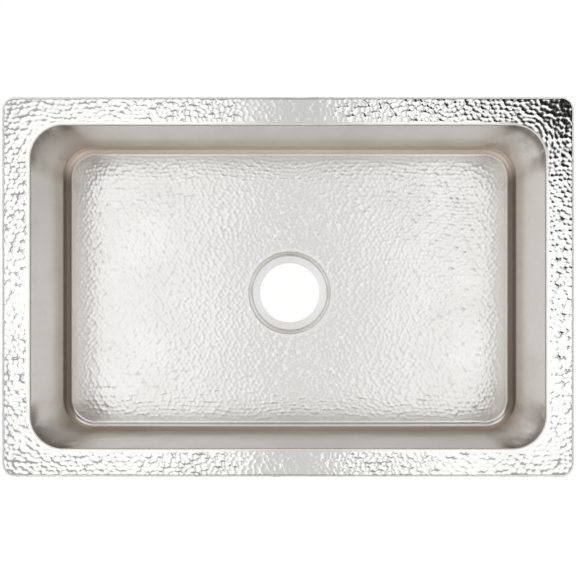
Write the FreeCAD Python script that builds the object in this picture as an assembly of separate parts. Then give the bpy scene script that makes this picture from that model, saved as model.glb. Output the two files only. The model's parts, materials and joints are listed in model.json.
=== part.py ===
"""Single-bowl farmhouse sink with an apron front, fabricated from hammered sheet metal.

Millimetres. +Z is up, +X runs along the length of the sink, and -Y is the front, where the
apron is. The origin is the centre of the sink's outline, on the plane that it stands on.
It stands level on the foot of the apron and on the underside of the drain dish.
"""

import FreeCAD, Part
import math
import os

Vector = FreeCAD.Vector

# --- sheet metal -----------------------------------------------------------------------
SHEET = 2.0                  # deck, apron, bowl, drain dish and brackets
BRACE_SHEET = 1.5            # channels behind the apron

# --- bowl ------------------------------------------------------------------------------
OPENING_LENGTH = 686.0       # inside the bowl, left to right
OPENING_WIDTH = 430.0        # inside the bowl, front to back
BOWL_DEPTH = 229.0           # top of the deck to the floor
TOP_CORNER_RADIUS = 44.0     # inside corners of the bowl at the deck
LOW_CORNER_RADIUS = 47.0     # inside corners of the bowl just above the floor
COVE_RADIUS = 12.0           # between the walls and the floor
WALL_EDGE_RADIUS = 0.8       # softened inner lip of the wall's top edge

# --- drain -----------------------------------------------------------------------------
DRAIN_BORE = 91.0            # hole that takes a basket strainer
DRAIN_TO_FRONT = 7.0         # the drain sits this far in front of the bowl's centre
SEAT_WIDTH = 12.0            # flat ring round the hole, under the strainer's flange
SEAT_DROP = 9.0              # floor to seat
RECESS_RUN = 3.5             # how far the recess's steep side leans outwards
DISH_MARGIN = 7.0            # flat ring round the recess, let into the floor
DISH_BEND = 2.0              # inside radius of both bends of the dish

# --- deck and apron --------------------------------------------------------------------
RIM_WIDTH = 38.0             # flat rim, the same on all four sides
DECK_CORNER_RADIUS = 17.0    # outline of the deck and the apron, seen from above
EDGE_BEND = 1.0              # inside radius where the deck turns down
LIP_HEIGHT = 8.0             # turned-down edge of the deck at the sides and back, from its top
APRON_RETURN = 76.0          # how far the apron wraps back along each side
FLANGE_WIDTH = 25.0          # inward flanges along the apron's foot and rear ends
FLANGE_CORNER = 6.0          # inner corners of the foot flange

# --- braces between the bowl and the apron ---------------------------------------------
BRACE_CROWN = 34.0
BRACE_FOOT = 14.0
BRACE_BELOW_DECK = 22.0
BRACE_FROM_CORNER = 55.0     # end of the front wall's flat to the outer brace

# --- brackets for the hold-down clips --------------------------------------------------
BRACKET_WIDTH = 40.0
BRACKET_LEG = 30.0           # welded to the wall
BRACKET_SHELF = 22.0         # stands out from the wall
BRACKET_DROP = 50.0          # top of the deck to the underside of the shelf
BRACKET_CORNER = 5.0
BRACKET_HOLE = 6.6
BRACKET_HOLE_OUT = 12.0      # wall to the hole's centre
BRACKET_FROM_CORNER = 58.0   # end of the wall's flat to the bracket

# --- sound pads ------------------------------------------------------------------------
PAD_THICKNESS = 3.0
PAD_CORNER = 12.0
WALL_PAD_FROM_CORNER = 43.0  # end of the wall's flat to the pad
WALL_PAD_BELOW_BRACKET = 14.0
WALL_PAD_ABOVE_COVE = 40.0
FLOOR_PAD_FROM_COVE = 30.0
FLOOR_PAD_FROM_DRAIN = 23.0  # edge of the drain dish to the pad

# --- worked out ------------------------------------------------------------------------
HEIGHT = BOWL_DEPTH + SEAT_DROP + SHEET
FLOOR_TOP = HEIGHT - BOWL_DEPTH
FLOOR_UNDERSIDE = FLOOR_TOP - SHEET
WALL_FOOT = FLOOR_TOP + COVE_RADIUS
LIP_FOOT = HEIGHT - LIP_HEIGHT
APRON_TOP = HEIGHT - EDGE_BEND - SHEET         # the apron is welded on just below the bend
SEAT_RADIUS = DRAIN_BORE / 2 + SEAT_WIDTH
RECESS_RADIUS = SEAT_RADIUS + RECESS_RUN
DISH_RADIUS = RECESS_RADIUS + DISH_MARGIN
DECK_LENGTH = OPENING_LENGTH + 2 * RIM_WIDTH
DECK_WIDTH = OPENING_WIDTH + 2 * RIM_WIDTH
BOWL_SIDE_X = OPENING_LENGTH / 2 + SHEET       # outer face of the side walls
BOWL_BACK_Y = OPENING_WIDTH / 2 + SHEET        # outer face of the back wall
FLAT_X = OPENING_LENGTH / 2 - LOW_CORNER_RADIUS  # half the flat of the front and back walls
FLAT_Y = OPENING_WIDTH / 2 - LOW_CORNER_RADIUS   # half the flat of the side walls
APRON_FACE_Y = -DECK_WIDTH / 2
APRON_BACK_Y = APRON_FACE_Y + APRON_RETURN
CORNER_START_X = DECK_LENGTH / 2 - DECK_CORNER_RADIUS   # where the apron's corner bends begin
SKIRT_LENGTH = DECK_LENGTH - 2 * SHEET         # inside the apron's skirt
SKIRT_WIDTH = DECK_WIDTH - 2 * SHEET
BRACKET_SHELF_Z = HEIGHT - BRACKET_DROP
PAST = 10.0                                    # how far a cutter runs past what it cuts


# --- general shapes --------------------------------------------------------------------
def rounded_outline(length, width, radius, z):
    """A closed wire: a rectangle centred on the Z axis, with round corners."""
    centre_x = length / 2 - radius
    centre_y = width / 2 - radius
    corners = (
        (centre_x, -centre_y, 270),
        (centre_x, centre_y, 0),
        (-centre_x, centre_y, 90),
        (-centre_x, -centre_y, 180),
    )
    arcs = []
    for x, y, start in corners:
        points = []
        for turn in (0, 45, 90):
            angle = math.radians(start + turn)
            points.append(Vector(x + radius * math.cos(angle), y + radius * math.sin(angle), z))
        arcs.append(points)
    edges = []
    for points, following in zip(arcs, arcs[1:] + arcs[:1]):
        edges.append(Part.Arc(*points).toShape())
        edges.append(Part.LineSegment(points[-1], following[0]).toShape())
    return Part.Wire(edges)


def rounded_block(length, width, radius, z_low, z_high):
    outline = rounded_outline(length, width, radius, z_low)
    return Part.Face(outline).extrude(Vector(0, 0, z_high - z_low))


def box_between(low, high):
    """A block from one corner to the opposite one."""
    size = Vector(*high) - Vector(*low)
    return Part.makeBox(size.x, size.y, size.z, Vector(*low))


def polygon_face(points):
    return Part.Face(Part.makePolygon(points + points[:1]))


def flat_edges(shape, z):
    """The edges of a shape that lie wholly in the plane at z."""
    found = []
    for edge in shape.Edges:
        box = edge.BoundBox
        if abs(box.ZMin - z) < 1e-4 and abs(box.ZMax - z) < 1e-4:
            found.append(edge)
    return found


def edge_nearest(shape, point):
    """The edge whose middle is nearest to a point."""
    return min(shape.Edges, key=lambda edge: (edge.CenterOfMass - Vector(*point)).Length)


# --- deck and apron --------------------------------------------------------------------
def pan_volume(length, width, radius, bend, z_top):
    """A block with a rounded upper edge, which runs down to the plane the sink stands on."""
    block = rounded_block(length, width, radius, 0, z_top)
    return block.makeFillet(bend, flat_edges(block, z_top))


def folded_pan():
    """Deck and skirt before they are parted: a pan upside down, with the bowl's opening."""
    outer = pan_volume(DECK_LENGTH, DECK_WIDTH, DECK_CORNER_RADIUS, EDGE_BEND + SHEET, HEIGHT)
    inner = pan_volume(SKIRT_LENGTH, SKIRT_WIDTH, DECK_CORNER_RADIUS - SHEET, EDGE_BEND, HEIGHT - SHEET)
    opening = rounded_block(
        2 * BOWL_SIDE_X, 2 * BOWL_BACK_Y, TOP_CORNER_RADIUS + SHEET, 0, HEIGHT + PAST
    )
    return outer.cut(inner).cut(opening)


def apron_zone(z_low, z_high):
    """Everything from the front of the sink back to where the apron's side returns end."""
    return box_between((-DECK_LENGTH, -DECK_WIDTH, z_low), (DECK_LENGTH, APRON_BACK_Y, z_high))


def deck_frame(pan):
    """The rim on all four sides. Its edge turns down, and is longer where there is no apron."""
    upper = box_between((-DECK_LENGTH, -DECK_WIDTH, LIP_FOOT), (DECK_LENGTH, DECK_WIDTH, HEIGHT + PAST))
    return pan.common(upper).cut(apron_zone(0, APRON_TOP))


def apron_front(pan):
    """The flat front face, as long as the straight of the deck's front edge."""
    straight = box_between((-CORNER_START_X, -DECK_WIDTH, -PAST), (CORNER_START_X, APRON_BACK_Y, APRON_TOP))
    return pan.common(straight)


def apron_return(side, pan):
    """One corner bend and the side return behind it, welded to the end of the front face."""
    low_x, high_x = sorted((side * CORNER_START_X, side * DECK_LENGTH))
    return pan.common(box_between((low_x, -DECK_WIDTH, -PAST), (high_x, APRON_BACK_Y, APRON_TOP)))


def apron_foot_flange():
    """A flat strip inside the foot of the apron, which follows it round both corners."""
    inner_length = SKIRT_LENGTH - 2 * FLANGE_WIDTH
    inner_width = SKIRT_WIDTH - 2 * FLANGE_WIDTH
    outer = rounded_block(SKIRT_LENGTH, SKIRT_WIDTH, DECK_CORNER_RADIUS - SHEET, 0, SHEET)
    inner = rounded_block(inner_length, inner_width, FLANGE_CORNER, -PAST, PAST)
    return outer.cut(inner).common(apron_zone(-PAST, PAST))


def apron_end_flange(side, pan):
    """Stiffens the rear end of a side return, from the foot flange up to the deck."""
    low_x, high_x = sorted((side * (SKIRT_LENGTH / 2 - FLANGE_WIDTH), side * SKIRT_LENGTH / 2))
    flange = box_between((low_x, APRON_BACK_Y - SHEET, SHEET), (high_x, APRON_BACK_Y, HEIGHT - SHEET))
    return flange.cut(pan)


def brace_section():
    """Hat section, seen from above: its feet are on the apron and its crown on the bowl."""
    apron_y = APRON_FACE_Y + SHEET
    crown_y = -BOWL_BACK_Y
    half = BRACE_CROWN / 2
    half_inside = half - BRACE_SHEET
    right = [
        (half_inside, crown_y - BRACE_SHEET),
        (half_inside, apron_y),
        (half + BRACE_FOOT, apron_y),
        (half + BRACE_FOOT, apron_y + BRACE_SHEET),
        (half, apron_y + BRACE_SHEET),
        (half, crown_y),
    ]
    left = [(-x, y) for x, y in reversed(right)]
    return polygon_face([Vector(x, y, WALL_FOOT) for x, y in right + left])


def apron_brace(place):
    """An upright channel between the bowl and the apron. place is -1, 0 or 1."""
    spacing = FLAT_X - BRACE_FROM_CORNER - BRACE_CROWN / 2 - BRACE_FOOT
    brace = brace_section().extrude(Vector(0, 0, HEIGHT - SHEET - BRACE_BELOW_DECK - WALL_FOOT))
    brace.translate(Vector(place * spacing, 0, 0))
    return brace


# --- bowl ------------------------------------------------------------------------------
def wall_volume(offset):
    """What the walls enclose, offset outwards: its corners grow rounder towards the floor."""
    length = OPENING_LENGTH + 2 * offset
    width = OPENING_WIDTH + 2 * offset
    foot = rounded_outline(length, width, LOW_CORNER_RADIUS + offset, WALL_FOOT)
    top = rounded_outline(length, width, TOP_CORNER_RADIUS + offset, HEIGHT)
    return Part.makeLoft([foot, top], True, True)


def tray_volume(offset, z_high):
    """What the floor and its cove enclose up to z_high, offset outwards and downwards."""
    length = OPENING_LENGTH + 2 * offset
    width = OPENING_WIDTH + 2 * offset
    z_low = FLOOR_TOP - offset
    block = rounded_block(length, width, LOW_CORNER_RADIUS + offset, z_low, HEIGHT)
    block = block.makeFillet(COVE_RADIUS + offset, flat_edges(block, z_low))
    keep = box_between((-length, -width, z_low - PAST), (length, width, z_high))
    return block.common(keep)


def bowl_wall():
    """A band of sheet all round the bowl, whose top edge is flush with the deck."""
    band = wall_volume(SHEET).cut(wall_volume(0))
    middle_x = (OPENING_LENGTH + SHEET) / 2
    middle_y = (OPENING_WIDTH + SHEET) / 2
    inner_lip = []
    for edge in flat_edges(band, HEIGHT):
        box = edge.BoundBox
        if max(abs(box.XMin), box.XMax) < middle_x and max(abs(box.YMin), box.YMax) < middle_y:
            inner_lip.append(edge)
    return band.makeFillet(WALL_EDGE_RADIUS, inner_lip)


def bowl_wall_half(band, side):
    """Half of the wall, U-shaped from above. The two halves are welded at the front and back."""
    low_x, high_x = sorted((0, side * DECK_LENGTH))
    return band.common(box_between((low_x, -DECK_WIDTH, 0), (high_x, DECK_WIDTH, HEIGHT + PAST)))


def floor_pan():
    """The hammered floor with its upturned cove, open where the drain dish is let in."""
    tray = tray_volume(SHEET, WALL_FOOT).cut(tray_volume(0, WALL_FOOT + PAST))
    hole = Part.makeCylinder(DISH_RADIUS, WALL_FOOT + PAST, Vector(0, -DRAIN_TO_FRONT, 0))
    return tray.cut(hole)


def ring_edges(ring, places):
    """The circular edges of a turned shape at the given radii and heights."""
    found = []
    for radius, z in places:
        for edge in flat_edges(ring, z):
            if abs(edge.BoundBox.XMax - radius) < 1e-3:
                found.append(edge)
    return found


def drain_dish():
    """A pressed ring: flat at floor level, down a steep side, and flat again at the seat."""
    bore = DRAIN_BORE / 2
    seat_z = FLOOR_TOP - SEAT_DROP
    under = SHEET * math.tan(math.atan2(SEAT_DROP, RECESS_RUN) / 2)
    section = [
        (DISH_RADIUS, FLOOR_TOP),
        (RECESS_RADIUS, FLOOR_TOP),
        (SEAT_RADIUS, seat_z),
        (bore, seat_z),
        (bore, seat_z - SHEET),
        (SEAT_RADIUS + under, seat_z - SHEET),
        (RECESS_RADIUS + under, FLOOR_UNDERSIDE),
        (DISH_RADIUS, FLOOR_UNDERSIDE),
    ]
    face = polygon_face([Vector(r, 0, z) for r, z in section])
    ring = face.revolve(Vector(0, 0, 0), Vector(0, 0, 1), 360)
    inside_bends = [(SEAT_RADIUS, seat_z), (RECESS_RADIUS + under, FLOOR_UNDERSIDE)]
    outside_bends = [(RECESS_RADIUS, FLOOR_TOP), (SEAT_RADIUS + under, seat_z - SHEET)]
    ring = ring.makeFillet(DISH_BEND, ring_edges(ring, inside_bends))
    ring = ring.makeFillet(DISH_BEND + SHEET, ring_edges(ring, outside_bends))
    ring.translate(Vector(0, -DRAIN_TO_FRONT, 0))
    return ring


# --- brackets and pads -----------------------------------------------------------------
def clip_bracket():
    """An angle with a hole in its shelf. Its back is on the YZ plane, and it points along +X."""
    half = BRACKET_WIDTH / 2
    shelf_top = BRACKET_SHELF_Z + SHEET
    leg = box_between((0, -half, BRACKET_SHELF_Z), (SHEET, half, BRACKET_SHELF_Z + BRACKET_LEG))
    shelf = box_between((0, -half, BRACKET_SHELF_Z), (BRACKET_SHELF, half, shelf_top))
    angle = leg.fuse(shelf).removeSplitter()
    rounded = []
    for y in (-half, half):
        rounded.append(edge_nearest(angle, (BRACKET_SHELF, y, BRACKET_SHELF_Z + SHEET / 2)))
    angle = angle.makeFillet(BRACKET_CORNER, rounded)
    angle = angle.makeFillet(SHEET, [edge_nearest(angle, (SHEET, 0, shelf_top))])
    hole = Part.makeCylinder(
        BRACKET_HOLE / 2, SHEET + 2 * PAST, Vector(BRACKET_HOLE_OUT, 0, BRACKET_SHELF_Z - PAST)
    )
    return angle.cut(hole)


def clip_brackets(wall_distance, wall_flat, turn):
    """A pair of brackets on one wall. turn is the angle of the wall's outward normal."""
    along = wall_flat - BRACKET_FROM_CORNER - BRACKET_WIDTH / 2
    pair = []
    for shift in (-along, along):
        bracket = clip_bracket()
        bracket.translate(Vector(wall_distance, shift, 0))
        bracket.rotate(Vector(0, 0, 0), Vector(0, 0, 1), turn)
        pair.append(bracket)
    return Part.makeCompound(pair)


def wall_pad(wall_distance, wall_flat, turn):
    """A rubber pad on the outside of one wall, below the clip brackets."""
    z_low = WALL_FOOT + WALL_PAD_ABOVE_COVE
    z_high = BRACKET_SHELF_Z - WALL_PAD_BELOW_BRACKET
    length = 2 * (wall_flat - WALL_PAD_FROM_CORNER)
    pad = rounded_block(z_high - z_low, length, PAD_CORNER, 0, PAD_THICKNESS)
    pad.rotate(Vector(0, 0, 0), Vector(0, 1, 0), 90)
    pad.translate(Vector(wall_distance, 0, (z_low + z_high) / 2))
    pad.rotate(Vector(0, 0, 0), Vector(0, 0, 1), turn)
    return pad


def floor_pad(side):
    """A rubber pad under the floor, beside the drain dish."""
    inner_x = DISH_RADIUS + FLOOR_PAD_FROM_DRAIN
    outer_x = OPENING_LENGTH / 2 - COVE_RADIUS - FLOOR_PAD_FROM_COVE
    width = OPENING_WIDTH - 2 * (COVE_RADIUS + FLOOR_PAD_FROM_COVE)
    z_low = FLOOR_UNDERSIDE - PAD_THICKNESS
    pad = rounded_block(outer_x - inner_x, width, PAD_CORNER, z_low, FLOOR_UNDERSIDE)
    pad.translate(Vector(side * (inner_x + outer_x) / 2, 0, 0))
    return pad


# --- the whole sink --------------------------------------------------------------------
def build():
    """Every sub-part of the sink by name."""
    pan = folded_pan()
    wall = bowl_wall()
    parts = {
        "deck_frame": deck_frame(pan),
        "apron_front": apron_front(pan),
        "apron_foot_flange": apron_foot_flange(),
        "floor_pan": floor_pan(),
        "drain_dish": drain_dish(),
        "clip_brackets_back": clip_brackets(BOWL_BACK_Y, FLAT_X, 90),
        "wall_pad_back": wall_pad(BOWL_BACK_Y, FLAT_X, 90),
        "apron_brace_centre": apron_brace(0),
    }
    for name, side, turn in (("left", -1, 180), ("right", 1, 0)):
        parts["bowl_wall_" + name] = bowl_wall_half(wall, side)
        parts["apron_return_" + name] = apron_return(side, pan)
        parts["apron_end_flange_" + name] = apron_end_flange(side, pan)
        parts["apron_brace_" + name] = apron_brace(side)
        parts["clip_brackets_" + name] = clip_brackets(BOWL_SIDE_X, FLAT_Y, turn)
        parts["wall_pad_" + name] = wall_pad(BOWL_SIDE_X, FLAT_Y, turn)
        parts["floor_pad_" + name] = floor_pad(side)
    return parts


def main():
    os.makedirs("parts", exist_ok=True)
    for name, shape in sorted(build().items()):
        if not shape.isValid() or shape.Volume <= 0:
            raise ValueError(name + " is not a sound solid")
        shape.exportStep(os.path.join("parts", name + ".step"))
        print("%-24s %d solid(s)  %.1f cm3" % (name, len(shape.Solids), shape.Volume / 1000))


main()
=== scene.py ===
"""Farmhouse sink with an apron front: hammered, satin and mill-finish surfaces over the frame.

Metres. +Z is up, +X runs along the sink and -Y is the front. Every place is worked out from
the frame's boxes and the named sizes below.
"""

import json
import math

import bmesh
import bpy
import numpy as np
from mathutils.geometry import delaunay_2d_cdt
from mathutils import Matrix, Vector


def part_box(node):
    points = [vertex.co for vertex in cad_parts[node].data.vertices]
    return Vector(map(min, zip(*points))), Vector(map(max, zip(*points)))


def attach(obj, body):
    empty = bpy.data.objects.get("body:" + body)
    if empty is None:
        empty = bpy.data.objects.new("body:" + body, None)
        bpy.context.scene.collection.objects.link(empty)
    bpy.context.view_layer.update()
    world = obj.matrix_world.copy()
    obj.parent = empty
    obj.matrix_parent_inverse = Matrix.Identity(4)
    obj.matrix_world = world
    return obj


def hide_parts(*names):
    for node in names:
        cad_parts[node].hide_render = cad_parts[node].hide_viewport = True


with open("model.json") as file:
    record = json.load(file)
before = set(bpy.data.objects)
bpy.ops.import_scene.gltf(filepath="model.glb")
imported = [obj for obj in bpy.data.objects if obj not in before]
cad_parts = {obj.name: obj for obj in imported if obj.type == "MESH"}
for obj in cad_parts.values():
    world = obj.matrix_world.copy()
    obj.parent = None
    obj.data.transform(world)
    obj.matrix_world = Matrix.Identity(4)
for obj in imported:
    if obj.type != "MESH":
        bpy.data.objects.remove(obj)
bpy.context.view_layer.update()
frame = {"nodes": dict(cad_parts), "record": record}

# --- places from the frame ---------------------------------------------------------------
DECK_LOW, DECK_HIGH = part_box("deck_frame")
WALL_LOW, WALL_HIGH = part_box("bowl_wall_right")
PAN_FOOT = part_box("floor_pan")[0][2]
DISH_LOW, DISH_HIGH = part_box("drain_dish")
APRON_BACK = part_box("apron_return_right")[1][1]   # where the side returns end
TOP = DECK_HIGH[2]
LIP_FOOT = DECK_LOW[2]
WALL_FOOT = WALL_LOW[2]
DRAIN_Y = (DISH_LOW[1] + DISH_HIGH[1]) / 2

# --- sizes -------------------------------------------------------------------------------
SHEET = 0.0020
EDGE_BEND = 0.0010           # inside radius where the deck turns down
DECK_CORNER = 0.017          # outline of the deck, seen from above
TOP_CORNER = 0.044           # inside corners of the bowl at the deck
LOW_CORNER = 0.047           # inside corners of the bowl above the floor
COVE = 0.012                 # between the walls and the floor
WALL_EDGE = 0.0011           # softened lip of the wall's top edge
DRAIN_BORE = 0.0455
SEAT_RADIUS = 0.0575
RECESS_RADIUS = 0.0610
DISH_BEND = 0.0020
PLAIN_MARGIN = 0.0016        # polished strip of the rim beside the bowl
MARGIN_FADE = 0.0028         # over which the hammer marks begin

# --- how finely the surfaces are divided -------------------------------------------------
RIM_STEP = 0.0008
APRON_STEP = 0.0014
FLOOR_STEP = 0.00135
WALL_STEP = 0.006            # up the walls
WALL_RUN_STEP = 0.003        # and along them
BEND_STEPS = 4               # round the outside of a small bend
INNER_BEND_STEPS = 3         # and round its inside
COVE_STEPS = 10
UNDER_COVE_STEPS = 6
DISH_BEND_STEPS = 8
LIP_ROWS = 8
CREASE = math.radians(40)    # edges that turn by more than this stay sharp
MERGE = 1e-6                 # points that lie this near to each other become one
TINY = 1e-7                  # slack where lengths are compared


# --- repeatable noise --------------------------------------------------------------------
def cell_random(i, j, salt):
    """A number from 0 to 1 for each cell (i, j) of an endless grid."""
    n = i.astype(np.int64).astype(np.uint32) * np.uint32(374761393)
    n = n + j.astype(np.int64).astype(np.uint32) * np.uint32(668265263)
    n = n + np.uint32((salt * 1442695041) & 0xFFFFFFFF)
    n = (n ^ (n >> np.uint32(13))) * np.uint32(1274126177)
    n = (n ^ (n >> np.uint32(16))) * np.uint32(2246822519)
    n = n ^ (n >> np.uint32(15))
    return n / 4294967295.0


def ramp(value, low, high):
    """0 below low, 1 above high, and smooth between them."""
    t = np.clip((value - low) / (high - low), 0, 1)
    return t * t * (3 - 2 * t)


def soft_noise(u, v, size, salt):
    """Smooth noise from -1 to 1 whose lumps are about size across."""
    u = u / size
    v = v / size
    i = np.floor(u)
    j = np.floor(v)
    a = ramp(u - i, 0, 1)
    b = ramp(v - j, 0, 1)
    low = cell_random(i, j, salt) * (1 - a) + cell_random(i + 1, j, salt) * a
    high = cell_random(i, j + 1, salt) * (1 - a) + cell_random(i + 1, j + 1, salt) * a
    return 2 * (low * (1 - b) + high * b) - 1


ROWS_PER_MARK = 1.10         # the staggered rows lie closer than the marks in a row
MARK_CRISPNESS = 55.0        # how sharp the ridges between two blows are
MARK_SPREAD = 0.4            # how much their sides differ in steepness
MARK_MEAN = 0.125            # their mean height, in units of slope times size
NO_MARK = 1e-30              # keeps the logarithm finite where no mark reaches


def hammer_marks(u, v, size, slope, salt, jitter=0.65, uneven=0.07, warp=0.6, warp_size=5.0):
    """Height of overlapping dimples, one for each blow, about a mean of 0.

    u and v are places on the unrolled sheet. The dimples are about size across and lie in
    staggered rows. slope is the steepness at their edges, jitter how far they stray from their
    rows, and uneven how much their depths differ. The rows wander by warp over warp_size marks.
    """
    bend_u = soft_noise(u, v, warp_size * size, salt + 11) * warp
    bend_v = soft_noise(u, v, warp_size * size, salt + 12) * warp
    u = u / size + bend_u
    v = v / size * ROWS_PER_MARK + bend_v
    j = np.floor(v)
    total = np.zeros_like(u)
    for near_j in (-1, 0, 1):
        cj = j + near_j
        stagger = 0.5 * np.mod(cj, 2)
        i = np.floor(u - stagger)
        for near_i in (-1, 0, 1):
            ci = i + near_i
            du = u - stagger - ci - 0.5 - jitter * (cell_random(ci, cj, salt) - 0.5)
            dv = v - cj - 0.5 - jitter * (cell_random(ci, cj, salt + 1) - 0.5)
            deep = uneven * cell_random(ci, cj, salt + 2)
            wide = 1 + MARK_SPREAD * (cell_random(ci, cj, salt + 3) - 0.5)
            total += np.exp(-MARK_CRISPNESS * ((du * du + dv * dv) ** 1.5 * wide + deep))
    height = -np.log(total + NO_MARK) / MARK_CRISPNESS
    return slope * size * (height - MARK_MEAN)


# --- meshes ------------------------------------------------------------------------------
class Sheet:
    """Collects patches of one piece. Patches that share an edge are merged at the end."""

    def __init__(self, name):
        self.name = name
        self.points = []
        self.faces = []
        self.count = 0

    def add_points(self, points):
        start = self.count
        self.points.append(np.asarray(points, dtype=float).reshape(-1, 3))
        self.count += len(self.points[-1])
        return start

    def add_grid(self, grid, closed=False):
        """grid is rows x columns x 3. A closed grid joins its last column to its first."""
        rows, columns = grid.shape[:2]
        start = self.add_points(grid)
        for r in range(rows - 1):
            for c in range(columns if closed else columns - 1):
                d = (c + 1) % columns
                here = start + r * columns
                above = here + columns
                self.faces.append((here + c, here + d, above + d, above + c))

    def add_triangles(self, points, triangles):
        start = self.add_points(points)
        for triangle in triangles:
            self.faces.append(tuple(start + k for k in triangle))

    def add_polygon(self, points):
        start = self.add_points(points)
        self.faces.append(tuple(range(start, self.count)))

    def finish(self, node):
        """Makes the object, which stands for a node or half of it and rides on the body."""
        mesh = bpy.data.meshes.new(self.name)
        mesh.from_pydata(np.concatenate(self.points).tolist(), [], self.faces)
        shape = bmesh.new()
        shape.from_mesh(mesh)
        bmesh.ops.remove_doubles(shape, verts=shape.verts, dist=MERGE)
        bmesh.ops.dissolve_degenerate(shape, edges=shape.edges, dist=TINY)
        bmesh.ops.recalc_face_normals(shape, faces=shape.faces)
        shape.to_mesh(mesh)
        shape.free()
        mesh.polygons.foreach_set("use_smooth", [True] * len(mesh.polygons))
        mesh.set_sharp_from_angle(angle=CREASE)
        piece = bpy.data.objects.new(self.name, mesh)
        bpy.context.scene.collection.objects.link(piece)
        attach(piece, "root")
        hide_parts(node)
        return piece


def quarter_turn(steps):
    """Angles from 0 to a quarter turn, both included."""
    return [k * math.pi / (2 * steps) for k in range(steps + 1)]


def fractions(steps, stop):
    """Even steps from 0 to 1 without the 1, with the stop exactly among them."""
    found = []
    for low, high in ((0.0, stop), (stop, 1.0)):
        count = max(1, round(steps * (high - low)))
        found.append(low + (high - low) * np.arange(count) / count)
    return np.concatenate(found)


class Outline:
    """Steps round a rectangle with round corners, anticlockwise from the front right corner.

    Loops of different sizes have their points at the same steps, so they can be joined.
    """

    def __init__(self, half_x, half_y, corner, step, side_stop=0.5):
        corner_steps = max(2, round(corner * math.pi / 2 / step))
        turns = np.arange(corner_steps) / corner_steps
        along_x = max(2, round(2 * (half_x - corner) / step))
        along_y = max(2, round(2 * (half_y - corner) / step))
        middle = fractions(along_x, 0.5)
        right = fractions(along_y, side_stop)
        left = fractions(along_y, 1 - side_stop)
        self.parts = [(turns, run) for run in (right, middle, left, middle)]

    def loop(self, half_x, half_y, corner):
        """Points and outward normals of one loop, each as columns x 2."""
        points = []
        normals = []
        signs = ((1, -1), (1, 1), (-1, 1), (-1, -1))
        for quarter, (turns, run) in enumerate(self.parts):
            angle = (quarter - 1 + turns) * math.pi / 2
            centre = np.array(signs[quarter]) * (half_x - corner, half_y - corner)
            arrow = np.stack((np.cos(angle), np.sin(angle)), axis=1)
            points.append(centre + corner * arrow)
            normals.append(arrow)
            straight = np.array(((1, 0), (0, 1), (-1, 0), (0, -1))[quarter], dtype=float)
            following = np.array(signs[(quarter + 1) % 4]) * (half_x - corner, half_y - corner)
            start = centre + corner * straight
            end = following + corner * straight
            points.append(start + run[:, None] * (end - start))
            normals.append(np.repeat(straight[None, :], len(run), axis=0))
        return np.concatenate(points), np.concatenate(normals)


def at_height(loop, z):
    """A flat loop as columns x 3."""
    return np.column_stack((loop, np.full(len(loop), z)))


def run_length(loop):
    """Distance along a closed loop up to each of its points."""
    steps = np.linalg.norm(np.roll(loop, -1, axis=0) - loop, axis=1)
    return np.concatenate(([0.0], np.cumsum(steps[:-1])))


# --- deck and apron ----------------------------------------------------------------------
RIM_MARK = 0.0067            # size of the marks on the rim and apron
RIM_SLOPE = 0.12
SIDE_SLOPE = 0.18            # the marks are steeper on the apron and the turned-down edge
SIDE_START = 7.0             # where the sides begin in the pattern of marks, in metres
RIM_SALT = 31
MIDDLE_DEPTH = 0.25          # share of the marks' depth left in the middle of front and back
MIDDLE_INNER = 0.03          # up to this far from the middle
MIDDLE_OUTER = 0.11          # and their whole depth from here on
DEPTH_SWING = 0.25           # how much the depth differs from place to place
DEPTH_LUMPS = 0.11
RAGGED = 0.0012              # how far the start of the marks wanders beside the bowl
RAGGED_LUMPS = 0.012
HALF_X = DECK_HIGH[0]
HALF_Y = DECK_HIGH[1]
OPENING_X = WALL_HIGH[0]     # the deck meets the outer face of the wall
OPENING_Y = WALL_HIGH[1]
OPENING_CORNER = TOP_CORNER + SHEET
BEND = EDGE_BEND + SHEET
APRON_TOP = TOP - BEND
SIDE_STOP = (APRON_BACK + HALF_Y - DECK_CORNER) / (2 * (HALF_Y - DECK_CORNER))
RIM_OUTLINE = Outline(HALF_X, HALF_Y, DECK_CORNER, RIM_STEP, SIDE_STOP)
APRON_OUTLINE = Outline(HALF_X, HALF_Y, DECK_CORNER, APRON_STEP, SIDE_STOP)
CORNER_START = HALF_X - DECK_CORNER
CORNER_DROOP = 0.0004        # how far the deck's corners are hammered down
BACK_RIGHT_DROOP = 0.0013    # the corner that is lowest
DROOP_REACH = 0.055
DROOP_POWER = 1.5


def rim_loop(inset, outline=RIM_OUTLINE):
    """A loop at a distance inside the deck's outline."""
    return outline.loop(HALF_X - inset, HALF_Y - inset, DECK_CORNER - inset)


def side_marks(z, outline=RIM_OUTLINE):
    """Marks on the turned-down edge and the apron, for each column at height z."""
    along = run_length(rim_loop(0, outline)[0])
    height = np.full(len(along), z)
    return hammer_marks(along + SIDE_START, height, RIM_MARK, SIDE_SLOPE, RIM_SALT)


def top_marks(plan):
    """Marks on the rim, shallower in the middle of its front and back. Its corners droop a little."""
    x, y = plan.T
    depth = MIDDLE_DEPTH + (1 - MIDDLE_DEPTH) * ramp(np.abs(x), MIDDLE_INNER, MIDDLE_OUTER)
    depth = depth * (1 + DEPTH_SWING * soft_noise(x, y, DEPTH_LUMPS, salt=41))
    near_end = np.clip(1 - (HALF_X - np.abs(x)) / DROOP_REACH, 0, 1)
    near_side = np.clip(1 - (HALF_Y - np.abs(y)) / DROOP_REACH, 0, 1)
    most = np.where((x > 0) & (y > 0), BACK_RIGHT_DROOP, CORNER_DROOP)
    droop = most * (near_end * near_side) ** DROOP_POWER
    return hammer_marks(x, y, RIM_MARK, RIM_SLOPE, RIM_SALT) * depth - droop


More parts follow.
